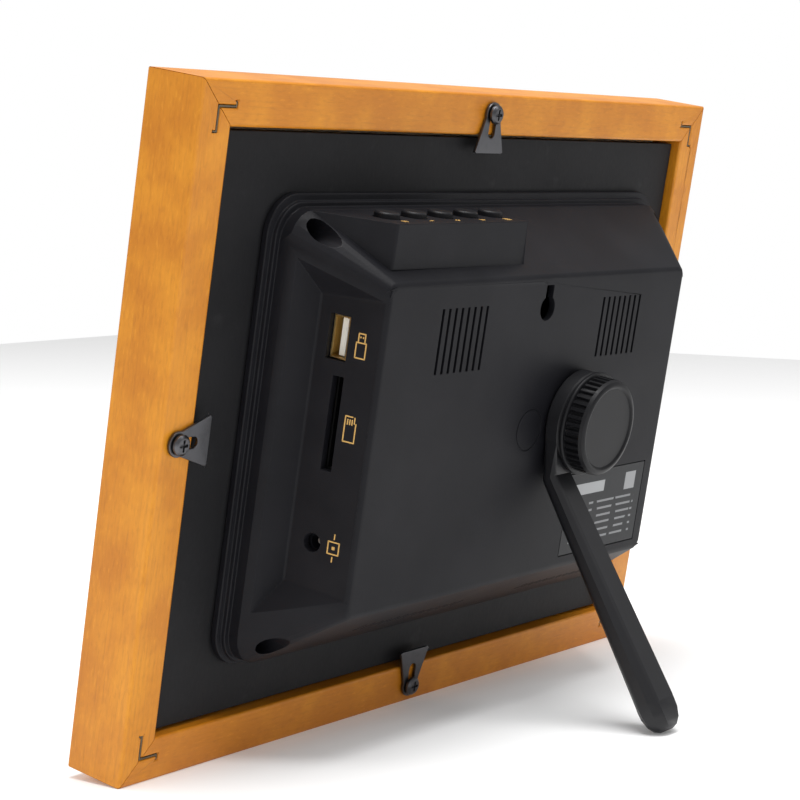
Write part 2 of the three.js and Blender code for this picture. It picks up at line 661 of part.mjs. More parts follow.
// The rounded foot: [share of the foot width, share of the foot depth, distance short of the end].
const footSteps = [[1, 1, 9], [0.97, 0.98, 5.5], [0.82, 0.86, 2.6], [0.58, 0.66, 0.8], [0.3, 0.4, 0]];

// The leg is as long as it takes for its foot to reach the surface that the wood stands on.
function legLength() {
  const up = new THREE.Vector3(0, -Math.sin(lean), Math.cos(lean));
  const floor = up.z * (-wood.height / 2 + wood.edgeRadius) - wood.edgeRadius - up.y * wood.edgeRadius;
  const lowest = (along) => Math.min(...footSteps.flatMap(([w, d, short]) =>
    legSection(along - short, w * leg.footWidth, d * leg.footDepth).map((point) => point.dot(up))));
  const perMillimetre = lowest(1) - lowest(0);
  return (floor - lowest(0)) / perMillimetre;
}

// Where the shank's root leaves the head, in turns round the hub from +X and as a share of the head's radius.
const rootPlan = [[-0.045, 0.96], [-0.1, 0.96], [-0.27, 0.65], [-0.28, 0.98]];

function legSolid() {
  const length = legLength();
  const shank = hull([
    ...legSection(0, leg.neckWidth, leg.neckDepth),
    ...footSteps.flatMap(([w, d, short]) =>
      legSection(length - short, w * leg.footWidth, d * leg.footDepth)),
  ]);
  const headSide = leg.headRadius - leg.headEdge;
  const head = turned([
    [0, legBase], [headSide, legBase], [leg.headRadius, legBase + leg.headEdge],
    [leg.headRadius, legTop - leg.headEdge], [headSide, legTop], [0, legTop]], hub.x, hub.z, 40);
  const root = hull([
    ...legSection(gap, leg.neckWidth, leg.neckDepth),
    ...rootPlan.flatMap(([turns, share]) => [legBase, legTop - leg.headEdge].map((y) => new THREE.Vector3(
      hub.x + share * leg.headRadius * Math.cos(2 * Math.PI * turns), y,
      hub.z + share * leg.headRadius * Math.sin(2 * Math.PI * turns)))),
  ]);
  const reach = 2 * leg.headRadius;
  const caseSide = block(
    hub.x - reach, hub.x + reach, caseBack - reach, legBase, hub.z - reach, hub.z + reach);
  return cut(join(head, root, shank), caseSide,
    rod(hub.x, hub.z, hub.boltRadius + gap, legBase - through, legTop + through));
}
addPart('stand_leg', legSolid(), finishes.knobPlastic);

function knobSolid() {
  const shape = new THREE.Shape();
  for (let i = 0; i < knob.ribs; i++) {
    for (const [turn, radius] of [[0, knob.radius - knob.ribDepth], [0.35, knob.radius - knob.ribDepth],
      [0.5, knob.radius], [0.85, knob.radius]]) {
      const angle = (i + turn) / knob.ribs * 2 * Math.PI;
      const [x, z] = [radius * Math.cos(angle), radius * Math.sin(angle)];
      if (i === 0 && turn === 0) shape.moveTo(x, z);
      else shape.lineTo(x, z);
    }
  }
  shape.closePath();
  const ribbed = slab(shape, knobBase, knobTop - knob.shoulder).translate([hub.x, 0, hub.z]);
  const edge = knob.flange / 4;
  const core = knob.radius - knob.ribDepth - edge;
  const shoulderBase = knobTop - knob.shoulder;
  const round = knob.shoulder / 3;
  const turnedBody = turned([
    [0, knobBase], [knob.flangeRadius - edge, knobBase], [knob.flangeRadius, knobBase + edge],
    [knob.flangeRadius, flangeTop - edge], [knob.flangeRadius - edge, flangeTop],
    [core, flangeTop], [core, shoulderBase], [knob.radius, shoulderBase],
    [knob.radius - round, knobTop - round], [knob.radius - 3 * round, knobTop],
    [knob.radius - knob.rim, knobTop], [knob.radius - knob.rim - knob.dish, knobTop - knob.dish],
    [0, knobTop - knob.dish],
  ], hub.x, hub.z, 48);
  return cut(join(ribbed, turnedBody),
    rod(hub.x, hub.z, hub.boltHead + gap, knobBase - through, boltHeadTop + gap, 6),
    rod(hub.x, hub.z, hub.boltRadius + gap, knobBase - through, boltHeadBase));
}
addPart('stand_knob', knobSolid(), finishes.knobPlastic);

// ---------------------------------------------------------------- turn clips that hold the backing board

function clipShape() {
  const shape = new THREE.Shape();
  const { tip, length, halfWidth, corner } = clip;
  const lineAngle = Math.asin((halfWidth - tip) / length);
  shape.absarc(0, 0, tip, -lineAngle, Math.PI + lineAngle);
  shape.absarc(corner - halfWidth, corner - length, corner, Math.PI + lineAngle, 1.5 * Math.PI);
  shape.absarc(halfWidth - corner, corner - length, corner, 1.5 * Math.PI, 2 * Math.PI - lineAngle);
  const slot = new THREE.Path();
  const half = screw.shank + gap;
  slot.absarc(0, 0, half, 0, Math.PI);
  slot.absarc(0, -clip.slot, half, Math.PI, 2 * Math.PI);
  shape.holes.push(slot);
  return shape;
}

for (const { side, distance, degrees } of rails) {
  const reach = distance - clip.inset;
  const plate = slab(clipShape(), gap, gap + clip.thickness).translate([0, 0, reach]);
  addPart(`clip_${side}`, plate.rotate([0, degrees, 0]), finishes.blackSteel);
  const clipScrew = screwSolid(0, reach, clipSeat, clipScrewTip);
  addPart(`clip_screw_${side}`, clipScrew.rotate([0, degrees, 0]), finishes.blackSteel);
}

// ---------------------------------------------------------------- standing on z = 0, centred on the box

const frame = new THREE.Group();
frame.add(panel);
const box = new THREE.Box3().setFromObject(frame, true);
const middle = box.getCenter(new THREE.Vector3());
panel.position.set(-middle.x, -middle.y, -box.min.z);

export default frame;
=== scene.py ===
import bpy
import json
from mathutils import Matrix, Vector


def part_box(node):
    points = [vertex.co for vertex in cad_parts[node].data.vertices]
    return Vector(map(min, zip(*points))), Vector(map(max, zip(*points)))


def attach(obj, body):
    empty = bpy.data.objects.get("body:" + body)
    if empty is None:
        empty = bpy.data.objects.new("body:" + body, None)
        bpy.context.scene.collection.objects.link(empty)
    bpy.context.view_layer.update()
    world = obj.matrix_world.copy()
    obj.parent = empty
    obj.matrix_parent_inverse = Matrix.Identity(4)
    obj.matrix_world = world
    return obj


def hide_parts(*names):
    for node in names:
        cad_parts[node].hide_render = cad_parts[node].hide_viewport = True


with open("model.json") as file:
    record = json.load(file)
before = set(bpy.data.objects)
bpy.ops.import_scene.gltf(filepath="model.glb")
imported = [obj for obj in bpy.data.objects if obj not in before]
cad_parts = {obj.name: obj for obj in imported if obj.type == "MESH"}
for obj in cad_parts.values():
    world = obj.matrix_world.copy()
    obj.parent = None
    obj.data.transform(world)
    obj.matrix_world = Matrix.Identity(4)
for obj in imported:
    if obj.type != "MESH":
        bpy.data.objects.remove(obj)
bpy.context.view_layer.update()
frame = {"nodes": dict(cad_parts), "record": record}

import json
import math

import bpy
from mathutils import Matrix, Vector

# The panel leans back. Its own coordinates are x to the left seen from behind, y out of the back and
# z up the picture, with y = 0 on the wood's rear face and x = z = 0 in the middle of the picture.
panel = {"glassMiddle": 0.0135}
mounts = {mount["name"]: mount for mount in frame["record"]["mounts"]}
outward = Vector(mounts["rear_face"]["axis"])
glassLow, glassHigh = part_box("glass")
panelOrigin = (glassLow + glassHigh) / 2 + outward * panel["glassMiddle"]
lean = math.atan2(-outward.z, outward.y)
toFrame = Matrix.Translation(panelOrigin) @ Matrix.Rotation(-lean, 4, "X")
fromFrame = toFrame.inverted()
sides = ("top", "left", "bottom", "right")


class Signal:  # one socket's value, so that shader maths is written as plain sums
    def __init__(self, recipe, socket):
        self.recipe = recipe
        self.socket = socket

    def maths(self, operation, *values, clamp=False):
        settings = {"operation": operation, "use_clamp": clamp}
        return self.recipe.node("ShaderNodeMath", settings, dict(enumerate(values)))["Value"]

    def __add__(self, other):
        return self.maths("ADD", self, other)

    def __sub__(self, other):
        return self.maths("SUBTRACT", self, other)

    def __rsub__(self, other):
        return self.maths("SUBTRACT", other, self)

    def __mul__(self, other):
        return self.maths("MULTIPLY", self, other)

    def __truediv__(self, other):
        return self.maths("DIVIDE", self, other)

    def __rtruediv__(self, other):
        return self.maths("DIVIDE", other, self)

    def __pow__(self, other):
        return self.maths("POWER", self, other)

    def __rpow__(self, other):
        return self.maths("POWER", other, self)

    def __lt__(self, other):
        return self.maths("LESS_THAN", self, other)

    def __gt__(self, other):
        return self.maths("GREATER_THAN", self, other)

    __radd__ = __add__
    __rmul__ = __mul__

    def sine(self):
        return self.maths("SINE", self)

    def fraction(self):
        return self.maths("FRACT", self)

    def clamped(self):
        return self.maths("ADD", self, 0.0, clamp=True)

    def rise(self, low, high):  # 0 below low and 1 above high, with a soft step between
        inputs = {"Value": self, "From Min": low, "From Max": high}
        return self.recipe.node("ShaderNodeMapRange", {"interpolation_type": "SMOOTHSTEP"}, inputs)["Result"]


class Recipe:  # the nodes of one material or of the world
    def __init__(self, owner):
        owner.use_nodes = True
        self.owner = owner
        self.tree = owner.node_tree
        self.tree.nodes.clear()

    # adds a node, does its settings first and then sets or links its sockets
    def node(self, kind, settings, inputs):
        made = self.tree.nodes.new(kind)
        for name, value in settings.items():
            setattr(made, name, value)
        for key, value in inputs.items():
            if isinstance(value, Signal):
                self.tree.links.new(value.socket, made.inputs[key])
            else:
                made.inputs[key].default_value = value
        return {socket.name: Signal(self, socket) for socket in made.outputs if socket.enabled}

    # the panel's own coordinates, stretched where a pattern runs along one direction
    def place(self, stretch=(1, 1, 1), shift=(0, 0, 0)):
        point = self.node("ShaderNodeTexCoord", {}, {})["Object"]
        turned = self.node("ShaderNodeMapping", {"vector_type": "TEXTURE"}, {
            "Vector": point, "Location": panelOrigin, "Rotation": (-lean, 0, 0)})["Vector"]
        return self.node("ShaderNodeMapping", {}, {
            "Vector": turned, "Location": shift, "Scale": stretch})["Vector"]

    def axes(self, vector):
        parts = self.node("ShaderNodeSeparateXYZ", {}, {"Vector": vector})
        return parts["X"], parts["Y"], parts["Z"]

    def noise(self, vector, scale, detail, roughness):
        return self.node("ShaderNodeTexNoise", {}, {
            "Vector": vector, "Scale": scale, "Detail": detail, "Roughness": roughness})["Fac"]

    def speckle(self, vector, scale):
        return self.node("ShaderNodeTexVoronoi", {}, {"Vector": vector, "Scale": scale})["Distance"]

    # colours given as numbers are (red, green, blue)
    def blend(self, share, first, second):
        first, second = (colour if isinstance(colour, Signal) else (*colour, 1) for colour in (first, second))
        return self.node("ShaderNodeMix", {"data_type": "RGBA"}, {0: share, 6: first, 7: second})["Result"]

    def bump(self, height, distance, strength):
        return self.node("ShaderNodeBump", {}, {
            "Height": height, "Distance": distance, "Strength": strength})["Normal"]

    # the shader's sockets by name, with _ for a space
    def finish(self, **sockets):
        inputs = {name.replace("_", " "): value for name, value in sockets.items()}
        shader = self.node("ShaderNodeBsdfPrincipled", {}, inputs)["BSDF"]
        self.node("ShaderNodeOutputMaterial", {}, {"Surface": shader})
        return self.owner


def newRecipe(name):
    return Recipe(bpy.data.materials.new(name))


# varnished wood: soft blotches, faint lines, short flecks and fine fibres and pores
wood = {
    "pale": (0.74, 0.290, 0.016), "deep": (0.58, 0.198, 0.009), "fibre": (0.36, 0.105, 0.006),
    "gold": (0.84, 0.370, 0.030), "along": 0.05, "fleckAlong": 0.28, "depthShare": 0.55,
    "lineSpacing": 0.0016, "lineDrift": 0.007, "broadScale": 26, "driftScale": 45, "blotchScale": 70,
    "fleckScale": 1100, "fibreScale": 900, "poreScale": 1500, "bump": 0.00005,
}


def woodFinish(name, grain, seed):
    recipe = newRecipe(name)
    stretch, shorter = [1.0, 1.0, 1.0], [1.0, 1.0, 1.0]
    stretch[grain], shorter[grain] = wood["along"], wood["fleckAlong"]
    point = recipe.place(stretch, (seed, seed, seed))
    x, y, z = recipe.axes(point)
    across = (z if grain == 0 else x) + wood["depthShare"] * y
    broad = recipe.noise(point, wood["broadScale"], 3, 0.55)
    drift = recipe.noise(point, wood["driftScale"], 2, 0.5)
    turns = (across + wood["lineDrift"] * drift) * (2 * math.pi / wood["lineSpacing"])
    lines = (turns.sine() * 0.5 + 0.5) ** 3
    flecks = recipe.noise(recipe.place(shorter), wood["fleckScale"], 3, 0.6)
    blotch = recipe.noise(recipe.place(), wood["blotchScale"], 3, 0.55)
    fibres = recipe.noise(point, wood["fibreScale"], 4, 0.7)
    pores = recipe.noise(point, wood["poreScale"], 2, 0.5).rise(0.62, 0.74)
    colour = recipe.blend((0.55 * broad + 0.45 * blotch).rise(0.38, 0.62), wood["deep"], wood["pale"])
    colour = recipe.blend(lines * broad.rise(0.3, 0.7) * 0.15, colour, wood["fibre"])
    colour = recipe.blend(flecks.rise(0.5, 0.68) * 0.20, colour, wood["fibre"])
    colour = recipe.blend((1 - flecks).rise(0.56, 0.72) * 0.30, colour, wood["gold"])
    colour = recipe.blend(fibres.rise(0.5, 0.75) * 0.20, colour, wood["fibre"])
    colour = recipe.blend(pores * 0.25, colour, wood["fibre"])
    height = fibres * 0.5 + flecks * 0.4 - pores * 0.7
    return recipe.finish(
        Base_Color=colour, Roughness=0.36 + 0.12 * fibres - 0.05 * lines,
        Normal=recipe.bump(height, wood["bump"], 0.5),
        Coat_Weight=0.10, Coat_Roughness=0.22, Specular_IOR_Level=0.32)


# moulded plastic: a fine eroded texture, faint mottling and slightly polished patches
plastic = {"cloudScale": 38, "handledScale": 14, "pitShare": 0.6, "lighter": 1.45, "lift": 0.004}


def plasticFinish(name, colour, rough, grainSize, depth, wear=0.04, shine=0.16):
    recipe = newRecipe(name)
    point = recipe.place()
    grain = recipe.noise(point, 1 / grainSize, 3, 0.6)
    pits = recipe.speckle(point, plastic["pitShare"] / grainSize)
    cloud = recipe.noise(point, plastic["cloudScale"], 4, 0.6)
    light = tuple(min(1.0, part * plastic["lighter"] + plastic["lift"]) for part in colour)
    handled = recipe.noise(point, plastic["handledScale"], 3, 0.65).rise(0.5, 0.72)
    return recipe.finish(
        Base_Color=recipe.blend(cloud.rise(0.35, 0.7) * 0.5 + grain * 0.3, colour, light),
        Roughness=rough + 0.14 * (grain - 0.5) - wear * handled,
        Normal=recipe.bump(grain + pits * 0.5, depth, 0.6), Specular_IOR_Level=shine)


# bare or blackened metal: fine scratches over a patchy tone
metal = {"scratchScale": 2600, "cloudScale": 240, "dull": 0.62, "bump": 0.00001}


def metalFinish(name, colour, rough, brushed=(1, 1, 1), stain=0.25):
    recipe = newRecipe(name)
    scratches = recipe.noise(recipe.place(brushed), metal["scratchScale"], 3, 0.6)
    cloud = recipe.noise(recipe.place(), metal["cloudScale"], 3, 0.6)
    dull = tuple(part * metal["dull"] for part in colour)
    return recipe.finish(
        Base_Color=recipe.blend(cloud.rise(0.45, 0.75) * stain, colour, dull), Metallic=1.0,
        Roughness=rough + 0.16 * (scratches - 0.5) + 0.12 * cloud,
        Normal=recipe.bump(scratches, metal["bump"], 0.5))


# black paper-faced board: faintly felted, with rubbed spots
board = {
    "deep": (0.0060, 0.0060, 0.0072), "pale": (0.0115, 0.0115, 0.0130), "rubbed": (0.019, 0.019, 0.021),
    "feltScale": 1400, "cloudScale": 30, "rubScale": 110, "bump": 0.00005, "edge": 0.0003,
}


def boardFinish():
    recipe = newRecipe("board_paper")
    felt = recipe.noise(recipe.place((1, 1, 0.35)), board["feltScale"], 4, 0.7)
    cloud = recipe.noise(recipe.place(), board["cloudScale"], 5, 0.62)
    rub = recipe.noise(recipe.place(), board["rubScale"], 3, 0.6).rise(0.62, 0.8)
    shade = recipe.blend(cloud.rise(0.3, 0.75) * 0.7, board["deep"], board["pale"])
    return recipe.finish(
        Base_Color=recipe.blend(rub * 0.4, shade, board["rubbed"]),
        Roughness=0.62 + 0.2 * (felt - 0.5) - 0.08 * rub,
        Normal=recipe.bump(felt, board["bump"], 0.6), Specular_IOR_Level=0.24)


paper = {"cloudScale": 25, "darker": 0.86, "bump": 0.00006}


def paperFinish(name, colour, pulpScale=900):
    recipe = newRecipe(name)
    pulp = recipe.noise(recipe.place(), pulpScale, 4, 0.7)
    cloud = recipe.noise(recipe.place(), paper["cloudScale"], 3, 0.5)
    darker = tuple(part * paper["darker"] for part in colour)
    return recipe.finish(
        Base_Color=recipe.blend(0.5 * cloud + 0.25 * pulp, colour, darker),
        Roughness=0.82 + 0.1 * pulp, Normal=recipe.bump(pulp, paper["bump"], 0.5))


def glassFinish():
    recipe = newRecipe("clear_glass")
    smear = recipe.noise(recipe.place(), 20, 3, 0.6)
    return recipe.finish(
        Base_Color=(0.96, 0.985, 0.975, 1), Roughness=0.015 + 0.03 * smear, IOR=1.5,
        Transmission_Weight=1.0, Alpha=0.10)


# a switched-off display: near black, with a faint blue cast, fine columns and a little dust
screen = {"deep": (0.006, 0.0065, 0.009), "pale": (0.010, 0.011, 0.015), "pitch": 0.0002, "dustScale": 400}


def screenFinish():
    recipe = newRecipe("display_glass")
    across = recipe.axes(recipe.place())[0]
    columns = (across * (2 * math.pi / screen["pitch"])).sine()
    dust = recipe.noise(recipe.place(), screen["dustScale"], 3, 0.7).rise(0.66, 0.8)
    return recipe.finish(
        Base_Color=recipe.blend(0.5 + 0.5 * columns, screen["deep"], screen["pale"]),
        Roughness=0.12 + 0.25 * dust, Coat_Weight=0.15, Coat_Roughness=0.05, Specular_IOR_Level=0.3)


# a dark film with pale bars and blocks that stand in for print; low and high are (x, z) corners
label = {
    "low": (-0.072, -0.043), "high": (-0.028, -0.017), "rows": 11,
    "film": (0.017, 0.018, 0.020), "ink": (0.46, 0.47, 0.48), "wordScale": 260, "grainScale": 700,
}


def labelFinish():
    recipe = newRecipe("label_film")
    x, y, z = recipe.axes(recipe.place())
    low, high = label["low"], label["high"]
    across = (x - low[0]) / (high[0] - low[0])
    up = (z - low[1]) / (high[1] - low[1])
    rows = (up * label["rows"]).fraction()
    words = recipe.noise(recipe.place((1, 0.02, 0.2)), label["wordScale"], 1, 0.4)
    line = (rows > 0.38) * (rows < 0.68) * (words > 0.46)
    body = line * (across > 0.08) * (across < 0.9) * (up > 0.12) * (up < 0.62)
    heading = (across > 0.52) * (across < 0.9) * (up > 0.72) * (up < 0.86)
    badge = (across > 0.1) * (across < 0.24) * (up > 0.68) * (up < 0.9)
    ink = (body * 0.5 + heading * 0.85 + badge * 0.7).clamped()
    grain = recipe.noise(recipe.place(), label["grainScale"], 3, 0.6)
    return recipe.finish(
        Base_Color=recipe.blend(ink, label["film"], label["ink"]), Roughness=0.42 + 0.1 * grain,
        Normal=recipe.bump(grain, 0.00002, 0.4), Specular_IOR_Level=0.25)


circuit = {
    "deep": (0.010, 0.080, 0.035), "track": (0.016, 0.130, 0.060), "weaveScale": 380, "trackScale": 150,
}


def circuitFinish():
    recipe = newRecipe("solder_resist")
    weave = recipe.noise(recipe.place((1, 1, 4)), circuit["weaveScale"], 2, 0.5)
    tracks = recipe.noise(recipe.place(), circuit["trackScale"], 0, 0.0).rise(0.5, 0.52)
    return recipe.finish(
        Base_Color=recipe.blend(tracks, circuit["deep"], circuit["track"]), Roughness=0.34 + 0.12 * weave,
        Normal=recipe.bump(tracks + 0.3 * weave, 0.00004, 0.5))


finishes = {
    "woodUpright": woodFinish("wood_upright", 2, 0.13),
    "woodLevel": woodFinish("wood_level", 0, 0.41),
    "case": plasticFinish("case_plastic", (0.0052, 0.0052, 0.0072), 0.50, 0.00035, 0.00004),
    "button": plasticFinish("button_plastic", (0.0075, 0.0075, 0.0090), 0.42, 0.00025, 0.00002),
    "knob": plasticFinish("knob_plastic", (0.0045, 0.0045, 0.0056), 0.42, 0.00030, 0.00003, 0.07, 0.20),
    "leg": plasticFinish("leg_plastic", (0.0075, 0.0075, 0.0090), 0.40, 0.00030, 0.00003, 0.07, 0.36),
    "steel": metalFinish("zinc_steel", (0.60, 0.60, 0.59), 0.30),
    "blackSteel": metalFinish("black_steel", (0.105, 0.105, 0.112), 0.30, (1, 1, 0.2), 0.5),
    "dullSteel": metalFinish("dull_steel", (0.17, 0.145, 0.105), 0.50),
    # painted shade: this steel is darkened to near black so that the card socket's slot reads as the shadow
    # inside it
    "paintedShadeSteel": metalFinish("painted_shade_steel", (0.030, 0.030, 0.031), 0.45),
    "brass": metalFinish("gold_plate", (0.80, 0.60, 0.27), 0.26),
    "board": boardFinish(),
    "mat": paperFinish("mat_card", (0.83, 0.79, 0.69)),
    "glass": glassFinish(),
    "screen": screenFinish(),
    "label": labelFinish(),
    "circuit": circuitFinish(),
    "whitePlastic": plasticFinish("white_plastic", (0.72, 0.70, 0.64), 0.42, 0.00030, 0.00002),
    "cone": paperFinish("speaker_cone", (0.030, 0.030, 0.032), 1600),
    "ribbon": plasticFinish("ribbon_film", (0.42, 0.19, 0.045), 0.34, 0.00060, 0.00002),
    "ink": paperFinish("gold_ink", (0.72, 0.44, 0.135), 2400),
}
print("finishes made:", len(finishes))


def pick(*pieces):
    bpy.ops.object.select_all(action="DESELECT")
    for piece in pieces:
        piece.select_set(True)
    bpy.context.view_layer.objects.active = pieces[0]


def applyModifier(piece, kind, **settings):
    pick(piece)
    modifier = piece.modifiers.new(kind.lower(), kind)
    for name, value in settings.items():
        setattr(modifier, name, value)
    bpy.ops.object.modifier_apply(modifier=modifier.name)


def settle(piece, body, slotName, finish, *nodes):
    piece.data.materials.clear()
    piece.data.materials.append(finishes[finish])
    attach(piece, body)
    if nodes:
        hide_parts(*nodes)


# copies of CAD nodes: how they are merged, and how their shading is split
copies = {
    "mergeWithin": 0.000004, "flatWithin": math.radians(0.6), "sharpFrom": math.radians(30),
    "roundFrom": math.radians(14), "smoothTo": math.radians(35), "normalWeight": 90,
}


# a merged copy of a CAD node; with wholeFaces its flat faces are put together again
def welded(node, name, wholeFaces):
    piece = bpy.data.objects.new(name, frame["nodes"][node].data.copy())
    bpy.context.scene.collection.objects.link(piece)
    pick(piece)
    bpy.ops.object.mode_set(mode="EDIT")
    bpy.ops.mesh.select_all(action="SELECT")
    bpy.ops.mesh.remove_doubles(threshold=copies["mergeWithin"])
    bpy.ops.mesh.customdata_custom_splitnormals_clear()
    if wholeFaces:
        bpy.ops.mesh.dissolve_limited(angle_limit=copies["flatWithin"])
        bpy.ops.mesh.select_all(action="SELECT")
        bpy.ops.mesh.vert_connect_concave()
    bpy.ops.object.mode_set(mode="OBJECT")
    return piece


# rounds the sharp edges whose two ends pass the test together, in the panel's own millimetres
def roundEdges(piece, width, segments, passes):
    mesh = piece.data
    places = [fromFrame @ vertex.co * 1000 for vertex in mesh.vertices]
    normals = {}
    for polygon in mesh.polygons:
        for key in polygon.edge_keys:
            normals.setdefault(key, []).append(polygon.normal.copy())
    pick(piece)
    bpy.ops.object.mode_set(mode="EDIT")
    bpy.ops.mesh.select_mode(type="EDGE")
    bpy.ops.mesh.select_all(action="DESELECT")
    bpy.ops.object.mode_set(mode="OBJECT")
    for edge in mesh.edges:
        meeting = normals.get(edge.key, [])
        sharp = len(meeting) == 2 and meeting[0].angle(meeting[1], 0) >= copies["roundFrom"]
        edge.select = sharp and passes(*(places[index] for index in edge.vertices))
    chosen = sum(edge.select for edge in mesh.edges)
    bpy.ops.object.mode_set(mode="EDIT")
    if chosen:
        bpy.ops.mesh.bevel(offset=width, segments=segments, affect="EDGES", clamp_overlap=False,
                           miter_outer="ARC", profile=0.5)
    bpy.ops.object.mode_set(mode="OBJECT")
    print(piece.name, "edges rounded:", chosen)


# rounds is a row of (width, segments, test), and edge is the last small bevel on whatever is sharp
def refine(node, name, body, slotName, finish, edge=0.0, segments=2, rounds=(), wholeFaces=True):
    piece = welded(node, name, wholeFaces)
    for width, steps, passes in rounds:
        roundEdges(piece, width, steps, passes)
    if edge:
        applyModifier(piece, "BEVEL", width=edge, segments=segments, limit_method="ANGLE",
                      angle_limit=copies["sharpFrom"], use_clamp_overlap=False, miter_outer="MITER_ARC")
    pick(piece)
    bpy.ops.object.shade_smooth_by_angle(angle=copies["smoothTo"])
    applyModifier(piece, "WEIGHTED_NORMAL", keep_sharp=True, weight=copies["normalWeight"])
    settle(piece, body, slotName, finish, node)


# the surround: rails rounded along their length, so that the mitres stay tight
surround = {"round": 0.0006, "roundSteps": 4, "along": 0.98, "nailEdge": 0.00008}


def railTest(axis):
    return lambda first, second: abs(first[axis] - second[axis]) > (first - second).length * surround["along"]


for side in sides:
    axis, finish = (2, "woodUpright") if side in ("left", "right") else (0, "woodLevel")
    longEdges = (surround["round"], surround["roundSteps"], railTest(axis))
    refine(f"frame_rail_{side}", f"rail_{side}", "frame", "wood", finish, rounds=(longEdges,))
for corner in ("top_left", "top_right", "bottom_left", "bottom_right"):
    refine(f"corner_nail_{corner}", f"nail_{corner}", "frame", "steel", "dullSteel", surround["nailEdge"], 1)
refine("backing_board", "board_sheet", "frame", "board", "board", board["edge"])
print("surround and board done")

# the case, with its levels and the limits that tell its edges apart in millimetres
case = {
    "back": 30, "rimTop": -0.6, "stepTop": 0.7, "backHalf": (75.5, 44.5), "rimFrom": (86, -96, 60),
    "podBack": 25, "podLow": (8, 5, 44.4), "podHigh": (84, 25.4, 62.2), "podTop": 61, "podShortest": 6,
    "recessX": (76.4, 92), "recessY": (5, 30.2), "recessEnd": (39.6, 43), "recessShortest": 3,
    "outlineRound": 0.0011, "stepRound": 0.00035, "podRound": 0.0006, "recessRound": 0.0006,
    "edge": 0.00014, "screwEdge": 0.0001,
}


def between(value, limits):
    return limits[0] < value < limits[1]


def outlineEdge(*ends):
    halfX, halfZ = case["backHalf"]
    onBack = all(abs(end.y - case["back"]) < 0.02 for end in ends)
    return onBack and all(abs(end.x) > halfX or abs(end.z) > halfZ for end in ends)


def stepEdge(first, second):
    left, right, high = case["rimFrom"]
    outer = all(end.x > left or end.x < right or abs(end.z) > high for end in (first, second))
    onStep = any(abs(first.y - level) < 0.03 for level in (case["rimTop"], case["stepTop"]))
    return outer and onStep and abs(first.y - second.y) < 0.02


def podEdge(first, second):
    ends = (first, second)
    inside = all(between(end[axis], (case["podLow"][axis], case["podHigh"][axis]))
                 for end in ends for axis in range(3))
    atBack = all(abs(end.y - case["podBack"]) < 0.03 for end in ends)
    onTop = all(end.z > case["podTop"] for end in ends) and abs(first.z - second.z) < 0.05
    return inside and (atBack or onTop) and (first - second).length > case["podShortest"]


def recessEdge(first, second):
    return (first - second).length > case["recessShortest"] and all(
        between(end.x, case["recessX"]) and between(abs(end.z), case["recessEnd"])
        and between(end.y, case["recessY"]) for end in (first, second))


refine("rear_case", "case_shell", "frame", "case_plastic", "case", case["edge"], 2, (
    (case["outlineRound"], 4, outlineEdge), (case["stepRound"], 3, stepEdge),
    (case["podRound"], 3, podEdge), (case["recessRound"], 3, recessEdge)), wholeFaces=False)
for number in range(1, 5):
    refine(f"case_screw_{number}", f"case_fixing_{number}", "frame", "black_steel", "blackSteel",
           case["screwEdge"], 1)
print("case done")

# the stand: the leg's long edges, then the rim of the knob's face and its flange
stand = {
    "legRound": 0.0008, "legLongest": 12, "rimRound": 0.0004, "rimFrom": 43.3,
    "flangeRound": 0.00015, "flangeTo": 37.5,
}
refine("stand_leg", "leg_arm", "leg", "knob_plastic", "leg", rounds=(
    (stand["legRound"], 4, lambda first, second: (first - second).length > stand["legLongest"]),))
refine("stand_knob", "knob_cap", "knob", "knob_plastic", "knob", rounds=(
    (stand["rimRound"], 3, lambda first, second: min(first.y, second.y) > stand["rimFrom"]),
    (stand["flangeRound"], 2, lambda first, second: max(first.y, second.y) < stand["flangeTo"])))

small = {"buttonEdge": 0.0002, "clipEdge": 0.0002, "clipScrewEdge": 0.0001}
for number in range(1, 6):
    refine(f"button_{number}", f"key_{number}", f"button_{number}", "button_plastic", "button",
           small["buttonEdge"])
for side in sides:
    refine(f"clip_{side}", f"clip_plate_{side}", f"clip_{side}", "black_steel", "blackSteel",
           small["clipEdge"])
    refine(f"clip_screw_{side}", f"clip_pin_{side}", f"clip_screw_{side}", "black_steel", "blackSteel",
           small["clipScrewEdge"], 1)
print("moving pieces done")

# Printed marks by the sockets and buttons, in the panel's own millimetres. The recess wall runs from
# wallFoot to wallHead, each (x, y). A mark is a row of strokes, each (across, up, width, height).
marks = {
    "thick": 0.14, "sunk": 0.02, "corner": 0.12,
    "wallFoot": Vector((80.5, 9.5)), "wallHead": Vector((77, 30)), "wallDepth": 23.3,
    "podTop": 61.8, "podDepth": 21.8, "firstButton": 15.7, "buttonPitch": 12.2,
}


# one flat stroke, drawn out from a plane, with soft corners and a little thickness
def stroke(across, up, width, height):
    bpy.ops.object.select_all(action="DESELECT")
    bpy.ops.mesh.primitive_plane_add(size=0.001)
    bpy.ops.object.mode_set(mode="EDIT")
    bpy.ops.transform.resize(value=(width, height, 1), center_override=(0, 0, 0))
    bpy.ops.transform.translate(value=(across / 1000, up / 1000, -marks["sunk"] / 1000))
    bpy.ops.mesh.bevel(offset=marks["corner"] / 1000, segments=2, affect="VERTICES")
    bpy.ops.mesh.extrude_region_move(TRANSFORM_OT_translate={"value": (0, 0, marks["thick"] / 1000)})
    bpy.ops.mesh.select_all(action="SELECT")
    bpy.ops.mesh.normals_make_consistent(inside=False)
    bpy.ops.object.mode_set(mode="OBJECT")
    return bpy.context.object


def printMark(name, middle, turn, strokes):
    pieces = [stroke(*one) for one in strokes]
    pick(*pieces)
    if len(pieces) > 1:
        bpy.ops.object.join()
    pieces[0].name = name
    pieces[0].data.transform(toFrame @ Matrix.Translation([part / 1000 for part in middle]) @ turn)
    settle(pieces[0], "frame", "case_plastic", "ink")


